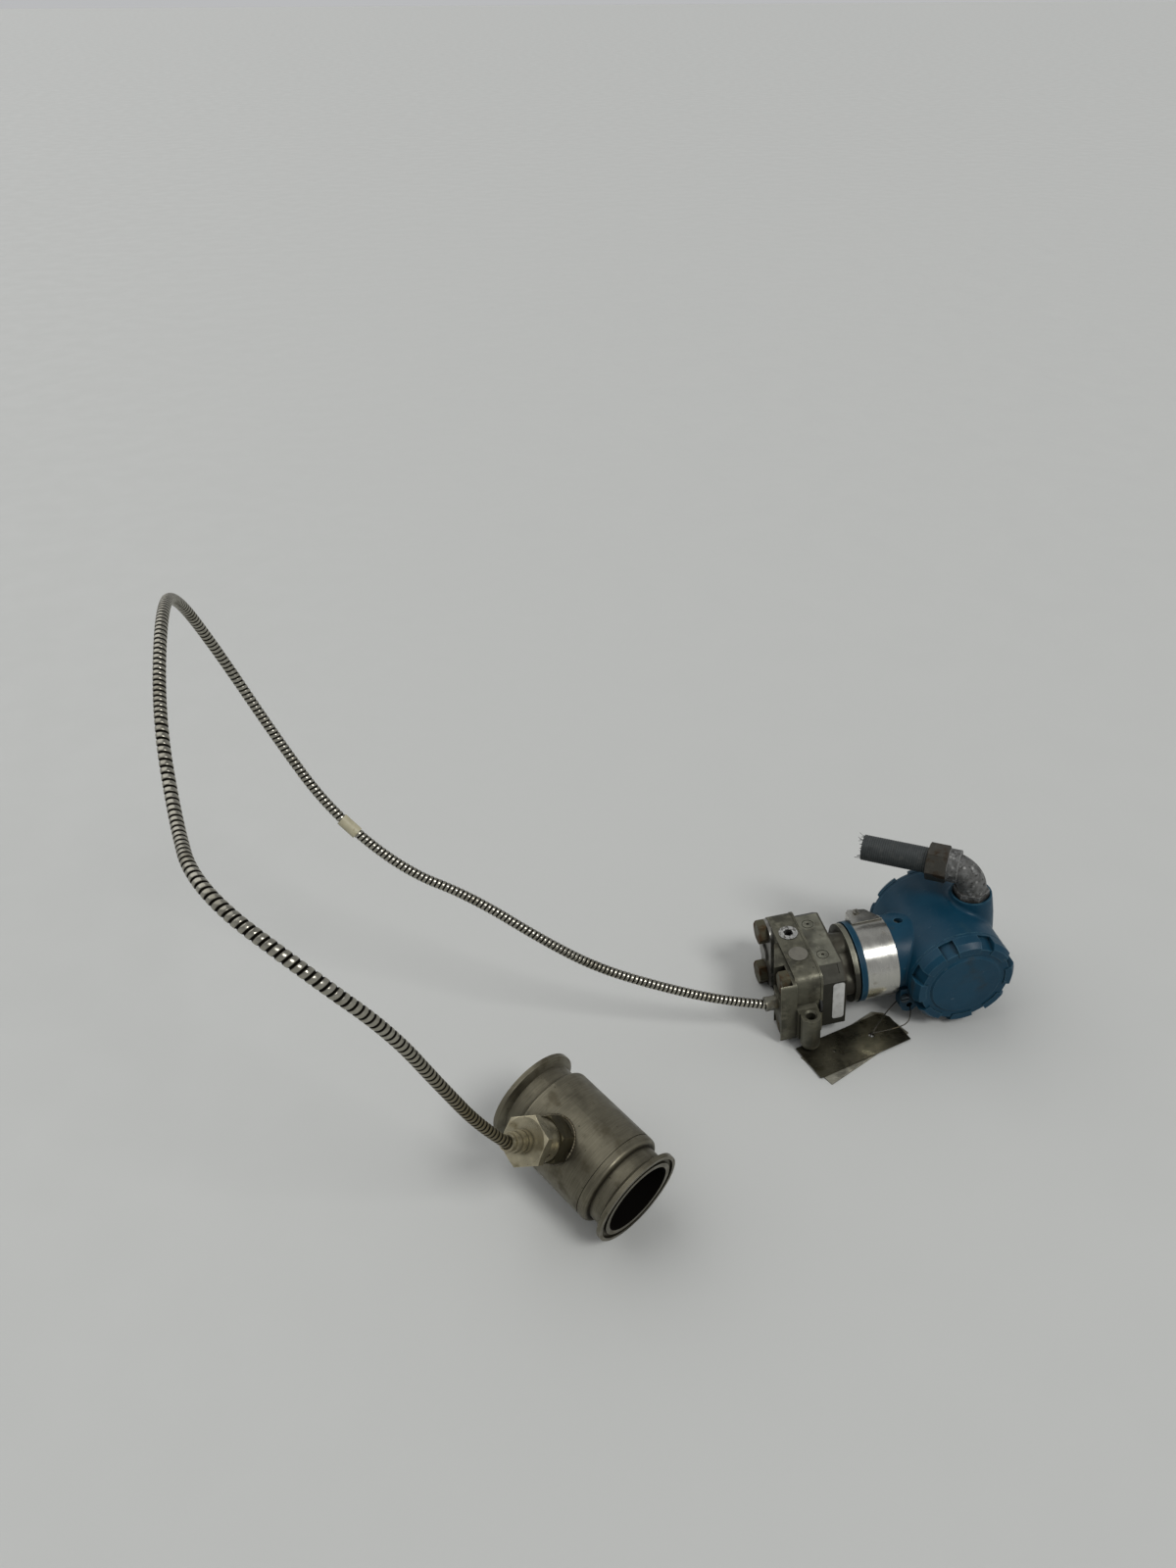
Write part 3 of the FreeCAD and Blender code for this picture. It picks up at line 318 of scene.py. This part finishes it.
def cast_module():
    """Cast steel block with painted shade on its sides and on its round collar, where it varies in patches.
    """
    side_from, side_full = 0.0248, 0.0262
    collar_from, collar_full = -0.0878, -0.0866
    collar_fades, collar_to = -0.0764, -0.0755
    look = stainless("module_steel", (0.162, 0.160, 0.124), 0.44, on_transmitter,
                     stain=(0.050, 0.044, 0.028), grain=0.0008, depth=0.00005, metallic=0.7)
    aside = look.calculate("ABSOLUTE", look.along("Y"))
    # Painted shade: darker on the sides of the block.
    look.paint(look.fit(aside, side_from, side_full, 0, 0.92), (0.028, 0.027, 0.021), 0.6)
    # Painted shade on the round collar, varied in patches.
    start = look.fit(look.along("X"), collar_from, collar_full)
    stop = look.fit(look.along("X"), collar_to, collar_fades)
    collar_shade_patches = look.patches(0.009, 5, 0.3, 0.6, least=0.6, most=0.95)
    look.paint(look.share(look.share(start, stop), collar_shade_patches), (0.034, 0.030, 0.021), 0.6)
    return look.done()


def bright_band():
    """Bright rolled strip, brushed along its length, with thin smears, and painted shade in the corners
    along its edges.
    """
    look = Look("band_steel", (0.43, 0.425, 0.390), 0.22, 0.95, on_transmitter)
    look.shine(look.noise(0.009, 5), 0.17, 0.28)
    brushed = look.noise(0.003, 3, (7, 0.5, 0.5))
    look.paint(look.fit(brushed, 0.35, 0.70, 0, 0.6), (0.53, 0.52, 0.475))
    look.paint(look.patches(0.010, 6, 0.56, 0.74, most=0.6), (0.22, 0.20, 0.15), 0.34)
    look.paint(look.patches(0.0016, 4, 0.68, 0.74, most=0.5), (0.10, 0.09, 0.06), 0.5)
    # Painted shade: darker and duller in corners and gaps.
    look.paint(look.share(look.hollows(0.004), 0.7), (0.050, 0.044, 0.030), 0.7)
    look.relief(brushed, 0.000004)
    return look.done()


def scratched_plug():
    """Bright socket plug with dark scratches from the key."""
    # Painted shade in its corners at full strength (the argument after depth).
    look = stainless("plug_steel", (0.44, 0.44, 0.42), 0.26, lines=(3, 9, 1), stain=(0.07, 0.065, 0.055),
                     corner_shade=1.0)
    scratches = look.patches(0.0032, 7, 0.50, 0.58, most=0.85, stretch=(1.8, 1, 1))
    look.paint(scratches, (0.090, 0.086, 0.075), 0.5)
    return look.done()


def bore_lining():
    """Dark, crusted lining of the bore, red-brown in patches."""
    look = Look("bore_lining", (0.005, 0.004, 0.0035), 0.85, 0.0, on_seal)
    look.paint(look.patches(0.007, 6, 0.55, 0.70), (0.022, 0.005, 0.003), 0.95)
    look.paint(look.patches(0.0016, 4, 0.70, 0.76, most=0.6), (0.05, 0.045, 0.020), 0.95)
    look.relief(look.noise(0.0022, 5), 0.0003)
    return look.done()


def wound_strip():
    """Armour strip: bright crowns, painted shade in the grooves between its turns, brown towards the seal.
    """
    look = Look("armour_steel", (0.36, 0.345, 0.29), 0.24, 1.0)
    look.shine(look.noise(0.004, 4), 0.18, 0.36)
    look.paint(look.patches(0.02, 4, 0.5, 0.75, most=0.7), (0.20, 0.185, 0.14), 0.40)
    look.paint(look.share(look.value("tarnish"), 0.85), (0.150, 0.122, 0.062), 0.42)
    # Painted shade: near black in the grooves between the turns.
    look.paint(look.fit(look.value("groove"), 0.05, 0.55), (0.008, 0.007, 0.005), 0.8)
    return look.done()


def ridged_jacket():
    """Dark grey conduit jacket, paler on its ridges as a painted highlight, with pale dust and dark spots in
    patches.
    """
    look = Look("jacket_grey", (0.024, 0.028, 0.028), 0.55)
    look.shader.inputs["Specular IOR Level"].default_value = 0.3
    # Painted highlight: paler on the crowns of the ridges.
    look.paint(look.fit(look.value("ridge"), 0.35, 0.95, 0, 0.8), (0.042, 0.048, 0.048), 0.5)
    look.paint(look.patches(0.004, 6, 0.52, 0.72, most=0.6), (0.060, 0.062, 0.058), 0.7)
    look.paint(look.patches(0.009, 5, 0.60, 0.76, most=0.7), (0.012, 0.013, 0.013), 0.6)
    look.relief(look.noise(0.0006, 3), 0.00006)
    return look.done()


looks = {
    "enamel": enamel(),
    "band": bright_band(),
    "screw": stainless("screw_steel", (0.216, 0.208, 0.180), 0.38).done(),
    "screw_dark": rusted("screw_dark", (0.020, 0.038, 0.050), rust=(0.030, 0.020, 0.012), amount=0.2,
                         metallic=0.2),
    "rubber": moulded("seal_rubber", (0.020, 0.020, 0.020), 0.6),
    "module_plastic": moulded("module_plastic", (0.030, 0.030, 0.033), 0.5),
    "terminal_plastic": moulded("terminal_plastic", (0.060, 0.064, 0.070), 0.5),
    "module": cast_module(),
    "flange": stainless("flange_steel", (0.112, 0.108, 0.079), 0.47, stain=(0.036, 0.031, 0.018),
                        grain=0.0012, depth=0.0001, metallic=0.7).done(),
    "bolt": rusted("bolt_steel", (0.068, 0.062, 0.037), rust=(0.060, 0.032, 0.011), amount=0.5),
    "plug": scratched_plug(),
    "blank": stainless("blank_steel", (0.30, 0.295, 0.27), 0.32, stain=(0.07, 0.06, 0.035)).done(),
    "disc": moulded("disc_grey", (0.119, 0.112, 0.090), 0.6, speck=(0.083, 0.076, 0.058)),
    "label": moulded("label_white", (0.446, 0.446, 0.425), 0.45, speck=(0.274, 0.259, 0.216)),
    "elbow": cast_elbow(),
    "nut": rusted("nut_metal", (0.052, 0.049, 0.040), rust=(0.034, 0.021, 0.010), amount=0.42),
    "jacket": ridged_jacket(),
    "liner": moulded("liner_grey", (0.090, 0.095, 0.095), 0.6),
    "seal": turned_seal(),
    "lining": bore_lining(),
    "weld": stainless("weld_steel", (0.135, 0.118, 0.082), 0.38, stain=(0.070, 0.055, 0.030)).done(),
    "fitting": stainless("fitting_steel", (0.36, 0.325, 0.225), 0.30, stain=(0.125, 0.098, 0.044),
                         blotch=0.6).done(),
    "fitting_dark": stainless("fitting_dark", (0.064, 0.056, 0.032), 0.42,
                              stain=(0.032, 0.025, 0.010)).done(),
    "crimp": stainless("crimp_steel", (0.19, 0.185, 0.150), 0.32).done(),
    "armour": wound_strip(),
    "splice": moulded("splice_cream", (0.400, 0.370, 0.250), 0.5, speck=(0.280, 0.240, 0.140)),
    "tag": stainless("tag_steel", (0.082, 0.076, 0.052), 0.30, lines=(1, 8, 1),
                     stain=(0.036, 0.029, 0.014)).done(),
    "tag_pale": stainless("tag_pale", (0.36, 0.345, 0.280), 0.42, lines=(1, 8, 1),
                          stain=(0.180, 0.147, 0.090)).done(),
    "wire": stainless("wire_steel", (0.045, 0.042, 0.034), 0.40).done(),
}

dressed = {
    "enamel": ["electronics_housing", "front_cover", "rear_cover"],
    "band": ["nameplate_band"],
    "screw": ["nameplate_screw", "rotation_set_screw", "terminal_screws"],
    "screw_dark": ["ground_screw"],
    "rubber": ["front_cover_seal", "rear_cover_seal", "neck_seal", "process_gaskets"],
    "module_plastic": ["electronics_module"],
    "terminal_plastic": ["terminal_block"],
    "module": ["sensor_module"],
    "flange": ["process_flange", "capillary_adapter"],
    "bolt": ["flange_bolts"],
    "plug": ["vent_plug"],
    "blank": ["blank_plate", "lower_port_plug"],
    "disc": ["blanking_disc"],
    "elbow": ["conduit_elbow"],
    "nut": ["conduit_nut"],
    "liner": ["conduit_liner"],
    "seal": ["seal_body"],
    "lining": ["diaphragm_sleeve"],
    "fitting": ["seal_nut", "seal_stub"],
    "fitting_dark": ["seal_hex"],
    "crimp": ["capillary_crimp"],
    "splice": ["splice_sleeve"],
    "tag": ["upper_tag"],
    "tag_pale": ["lower_tag"],
    "wire": ["tag_wire"],
}
for look, names in dressed.items():
    for name in names:
        nodes[name].data.materials.clear()
        nodes[name].data.materials.append(looks[look])


# Pieces
def add_object(name, data):
    made = bpy.data.objects.new(name, data)
    bpy.context.scene.collection.objects.link(made)
    return made


def spline_line(name, points, resolution):
    """Points of the smooth line that a route's control points give."""
    curve = bpy.data.curves.new(name, "CURVE")
    curve.dimensions = "3D"
    curve.resolution_u = resolution
    spline = curve.splines.new("NURBS")
    spline.points.add(len(points) - 1)
    for place, point in zip(spline.points, points):
        place.co = (*point, 1)
    spline.order_u = 3
    spline.use_endpoint_u = True
    holder = add_object(name, curve)
    mesh = bpy.data.meshes.new_from_object(holder)
    line = [vertex.co.copy() for vertex in mesh.vertices]
    bpy.data.objects.remove(holder)
    bpy.data.meshes.remove(mesh)
    return line


def line_length(line):
    return sum((second - first).length for first, second in zip(line, line[1:]))


def sweep(mesh, line, sides, surface, loop=False):
    """Rings of a tube along an open line or a loop.

    surface(distance, turn) gives the tube's radius there and the values that its points carry.
    """
    layers = {name: mesh.verts.layers.float.get(name) for name in mesh.verts.layers.float.keys()}
    last = len(line) - 1
    ahead = (line[1] - line[0]).normalized()
    side = ahead.orthogonal().normalized()
    distance = 0.0
    rings = []
    for step, point in enumerate(line):
        if step:
            distance += (point - line[step - 1]).length
        behind = ahead
        before = line[step - 1] if step or loop else point
        after = line[(step + 1) % len(line)] if step < last or loop else point
        ahead = (after - before).normalized()
        side = behind.rotation_difference(ahead) @ side
        up = ahead.cross(side)
        ring = []
        for part in range(sides):
            turn = part / sides
            angle = 2 * math.pi * turn
            radius, values = surface(distance, turn)
            vertex = mesh.verts.new(point + (side * math.cos(angle) + up * math.sin(angle)) * radius)
            for name, value in values.items():
                vertex[layers[name]] = value
            ring.append(vertex)
        rings.append(ring)
    return rings


def skin(mesh, rings):
    """Faces between each ring and the next."""
    for first, second in zip(rings, rings[1:]):
        for part in range(len(first)):
            other = (part + 1) % len(first)
            mesh.faces.new((first[part], first[other], second[other], second[part]))


def close(mesh, rings):
    """Skin between the rings, with both ends closed."""
    skin(mesh, rings)
    mesh.faces.new(list(reversed(rings[0])))
    mesh.faces.new(rings[-1])


def piece(name, mesh, look, body, sharp=180):
    """Object made of a finished mesh, riding on a body; edges over sharp degrees stay hard."""
    data = bpy.data.meshes.new(name)
    mesh.to_mesh(data)
    mesh.free()
    data.shade_smooth()
    data.set_sharp_from_angle(angle=math.radians(sharp))
    data.materials.append(looks[look])
    made = add_object(name, data)
    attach(made, body)
    return made


# Armoured capillary: a strip wound in a helix, its turns drawn apart on the half towards the seal
armour_diameter = 0.0068
close_pitch = 0.00315
open_pitch = 0.0041
opens_at = 0.65
strip_crown = 0.45         # share of the strip's half width that lies outside the groove
crown_drop = 0.05          # share of the radius
groove_drop = 0.19         # share of the radius
tarnish_from = 0.15        # distance from the seal
tarnish_fade = 0.09
armour_sides = 20
armour_resolution = 150
armour_exit = transmitter @ Vector((-0.143, -0.027, 0.0035))
armour_socket = 0.085      # distance of the armour's end from the seal's axis
armour_end = seal @ (Vector((fitting_at, 0, 0)) + fitting_up * armour_socket)
armour_route = [(-0.0198, 0.0402, 0.036), (-0.0642, 0.0485, 0.050), (-0.1062, 0.0605, 0.064),
                (-0.1422, 0.0655, 0.091), (-0.1892, 0.0905, 0.118), (-0.2312, 0.1025, 0.137),
                (-0.2752, 0.1275, 0.175), (-0.3052, 0.1555, 0.221), (-0.3312, 0.1685, 0.278),
                (-0.3452, 0.1405, 0.335), (-0.3412, 0.0755, 0.354), (-0.3432, 0.0215, 0.322),
                (-0.3352, -0.0325, 0.294), (-0.3192, -0.0975, 0.303), (-0.2722, -0.1335, 0.276),
                (-0.2422, -0.1315, 0.233), (-0.2222, -0.1195, 0.177), (-0.2032, -0.1055, 0.123)]
armour_points = [armour_exit, *armour_route, armour_end]


def wound(length):
    """Surface of the armour: a rounded strip with a groove between its turns, brown near the seal."""
    def surface(distance, turn):
        turns = min(distance, opens_at) / close_pitch + max(0.0, distance - opens_at) / open_pitch
        place = (turns + turn) % 1
        off = abs(place - 0.5) * 2
        groove = max(0.0, (off - strip_crown) / (1 - strip_crown))
        radius = armour_diameter / 2 * (1 - crown_drop * off * off - groove_drop * groove * groove)
        tarnish = max(0.0, min(1.0, (tarnish_from - (length - distance)) / tarnish_fade))
        return radius, {"groove": groove, "tarnish": tarnish}
    return surface


def armour():
    line = spline_line("armour_line", armour_points, armour_resolution)
    length = line_length(line)
    mesh = bmesh.new()
    for name in ("groove", "tarnish"):
        mesh.verts.layers.float.new(name)
    close(mesh, sweep(mesh, line, armour_sides, wound(length)))
    made = piece("armour_winding", mesh, "armour", "transmitter")
    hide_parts("capillary_armour")


armour()

# Cut conduit: ridged jacket, and the threads that fray from its end
conduit_from = transmitter @ Vector((0.022, 0.004, 0.0625))
conduit_turn = math.radians(144.5)
conduit_ahead = transmitter_turn.to_matrix() @ Vector((math.cos(conduit_turn), math.sin(conduit_turn), 0))
jacket_start = 0.018
jacket_end = 0.0797
jacket_outer = 0.0096
jacket_inner = 0.0072
jacket_sides = 40
jacket_steps = 270
inner_stride = 30          # steps between two rings of the inner wall
ridge_pitch = 0.0016
ridge_depth = 0.00022
inner_ridge = 0.3          # shade of the inner wall, as a ridge's height
cut_ragged = 0.0009
jacket_seed = 7


def ridged(distance, turn):
    wave = 0.5 + 0.5 * math.cos(2 * math.pi * (distance / ridge_pitch + turn))
    return jacket_outer - ridge_depth * (1 - wave), {"ridge": wave}


def smooth(distance, turn):
    return jacket_inner, {"ridge": inner_ridge}


def jacket():
    mesh = bmesh.new()
    mesh.verts.layers.float.new("ridge")
    reach = jacket_end - jacket_start
    line = []
    for step in range(jacket_steps + 1):
        line.append(conduit_from + conduit_ahead * (jacket_start + reach * step / jacket_steps))
    outer = sweep(mesh, line, jacket_sides, ridged)
    inner = sweep(mesh, line[::-inner_stride], jacket_sides, smooth)
    inner = [[ring[0], *reversed(ring[1:])] for ring in inner]
    rng = random.Random(jacket_seed)
    for number in range(jacket_sides):
        drop = conduit_ahead * cut_ragged * rng.random()
        outer[-1][number].co -= drop
        inner[0][number].co -= drop
    skin(mesh, [*outer, *inner, outer[0]])
    mesh.normal_update()
    made = piece("jacket_ridges", mesh, "jacket", "transmitter")
    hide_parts("conduit_jacket")


thread_count = 22
thread_seed = 11
thread_wander = 0.8        # share of the space to the next thread
thread_hold = 0.0015       # length inside the jacket's wall
thread_inset = 0.0003      # least distance from the jacket's inside
thread_wall = 0.0016       # thickness of the wall in which they stand
thread_shortest = 0.0010
thread_longer = 0.0042
thread_lean = 0.9
thread_lean_middle = 0.3
thread_sway = 1.8
thread_sway_middle = 0.5
thread_thin = 0.00014
thread_thicker = 0.00012
thread_steps = 6
thread_sides = 5
thread_ridge = 0.1         # their shade, as a ridge's height


def threads():
    mesh = bmesh.new()
    mesh.verts.layers.float.new("ridge")
    rng = random.Random(thread_seed)
    side = conduit_ahead.orthogonal().normalized()
    up = conduit_ahead.cross(side)
    for number in range(thread_count):
        angle = 2 * math.pi * (number + thread_wander * rng.random()) / thread_count
        out = side * math.cos(angle) + up * math.sin(angle)
        across = out.cross(conduit_ahead)
        root = conduit_from + conduit_ahead * (jacket_end - thread_hold)
        root += out * (jacket_inner + thread_inset + thread_wall * rng.random())
        length = thread_shortest + thread_longer * rng.random() ** 3
        lean = thread_lean * (rng.random() - thread_lean_middle)
        sway = thread_sway * (rng.random() - thread_sway_middle)
        thick = thread_thin + thread_thicker * rng.random()
        line = []
        for step in range(thread_steps + 1):
            share = step / thread_steps
            bent = (out * lean + across * sway) * length * share * share
            line.append(root + conduit_ahead * (thread_hold + length) * share + bent)
        rings = sweep(mesh, line, thread_sides, lambda distance, turn: (thick, {"ridge": thread_ridge}))
        close(mesh, rings)
    piece("jacket_threads", mesh, "jacket", "transmitter")


jacket()
threads()

# Label with rounded corners, bare
label_low = Vector((-0.096, -0.0363, -0.0155))
label_high = Vector((-0.0875, -0.036, 0.0195))
label_corner = 0.0022
label_corner_steps = 6
label_face = 0.985         # scale of its face, inside its sloped edge
label_hard_angle = 25


def label_outline():
    """Points around the label's middle, along the neck and up."""
    half_x = (label_high.x - label_low.x) / 2 - label_corner
    half_z = (label_high.z - label_low.z) / 2 - label_corner
    outline = []
    for corner, (along, over) in enumerate(((1, 1), (-1, 1), (-1, -1), (1, -1))):
        for step in range(label_corner_steps + 1):
            angle = math.pi / 2 * (corner + step / label_corner_steps)
            outline.append((along * half_x + label_corner * math.cos(angle),
                            over * half_z + label_corner * math.sin(angle)))
    return outline


def label():
    mesh = bmesh.new()
    middle = (label_low + label_high) / 2
    thick = label_high.y - label_low.y
    levels = ((label_high.y, 1.0), (label_low.y + thick / 3, 1.0), (label_low.y, label_face))
    rings = []
    for depth, scale in levels:
        ring = []
        for x, z in label_outline():
            spot = Vector((middle.x + x * scale, depth, middle.z + z * scale))
            ring.append(mesh.verts.new(transmitter @ spot))
        rings.append(ring)
    close(mesh, rings)
    bmesh.ops.recalc_face_normals(mesh, faces=mesh.faces)
    made = piece("label_sheet", mesh, "label", "transmitter", label_hard_angle)
    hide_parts("module_label")


label()

# Weld bead around the foot of the seal's fitting
seal_radius = 0.031
pad_radius = 0.014
bead_radius = 0.0011
bead_ripples = 46
ripple_depth = 0.2         # share of the bead's radius
bead_steps = 552
bead_sides = 10


def weld():
    mesh = bmesh.new()
    line = []
    for step in range(bead_steps):
        angle = 2 * math.pi * step / bead_steps
        aside = pad_radius * math.sin(angle)
        rise = math.sqrt(seal_radius ** 2 - aside ** 2)
        spot = Vector((fitting_at + pad_radius * math.cos(angle), 0, 0))
        line.append(seal @ (spot + fitting_side * aside + fitting_up * rise))
    length = line_length(line + line[:1])

    def rippled(distance, turn):
        wave = abs(math.sin(math.pi * bead_ripples * distance / length))
        return bead_radius * (1 - ripple_depth + ripple_depth * wave), {}
    rings = sweep(mesh, line, bead_sides, rippled, loop=True)
    skin(mesh, [*rings, rings[0]])
    bmesh.ops.recalc_face_normals(mesh, faces=mesh.faces)
    piece("weld_bead", mesh, "weld", "transmitter")


weld()

# Stage
floor_reach = 20.0
floor_corners = [(-floor_reach, -floor_reach, 0), (floor_reach, -floor_reach, 0),
                 (floor_reach, floor_reach, 0), (-floor_reach, floor_reach, 0)]
floor_mesh = bpy.data.meshes.new("floor")
floor_mesh.from_pydata(floor_corners, [], [(0, 1, 2, 3)])
floor = add_object("floor", floor_mesh)
floor_look = Look("floor", (0.492, 0.498, 0.480), 0.6)
floor_look.shine(floor_look.noise(0.05), 0.5, 0.7)
floor_mesh.materials.append(floor_look.done())


def sun(name, towards, angle, strength):
    light = bpy.data.lights.new(name, "SUN")
    light.angle = math.radians(angle)
    light.energy = strength
    made = add_object(name, light)
    made.rotation_euler = Vector(towards).to_track_quat("Z", "Y").to_euler()


sun("overhead", towards=(0.36, -0.52, 0.80), angle=20, strength=1.42)
sun("window", towards=(-0.5, 0.42, 0.75), angle=75, strength=1.05)

# Surroundings: paler at the horizon than overhead
horizon_level = 0.50
zenith_level = 0.28
sky_colour = (0.97, 0.98, 1.0, 1)


def surroundings():
    world = bpy.data.worlds.new("studio")
    world.use_nodes = True
    sky = world.node_tree
    background = sky.nodes["Background"]
    background.inputs["Color"].default_value = sky_colour
    direction = sky.nodes.new("ShaderNodeTexCoord")
    height = sky.nodes.new("ShaderNodeSeparateXYZ")
    level = sky.nodes.new("ShaderNodeMapRange")
    level.inputs["To Min"].default_value = horizon_level
    level.inputs["To Max"].default_value = zenith_level
    sky.links.new(direction.outputs["Generated"], height.inputs[0])
    sky.links.new(height.outputs["Z"], level.inputs["Value"])
    sky.links.new(level.outputs[0], background.inputs["Strength"])
    bpy.context.scene.world = world


surroundings()

# Camera at the photograph's place
camera_at = (-0.22119, -0.513856, 0.639)
camera_pitch = math.radians(54.5)
camera_turn = math.radians(-10.65)
camera = bpy.data.cameras.new("camera")
camera.lens = 26.78
camera.sensor_width = 36
viewer = add_object("camera", camera)
viewer.location = camera_at
viewer.rotation_euler = (camera_pitch, 0, camera_turn)
bpy.context.scene.camera = viewer
bpy.context.scene.view_settings.view_transform = "Standard"
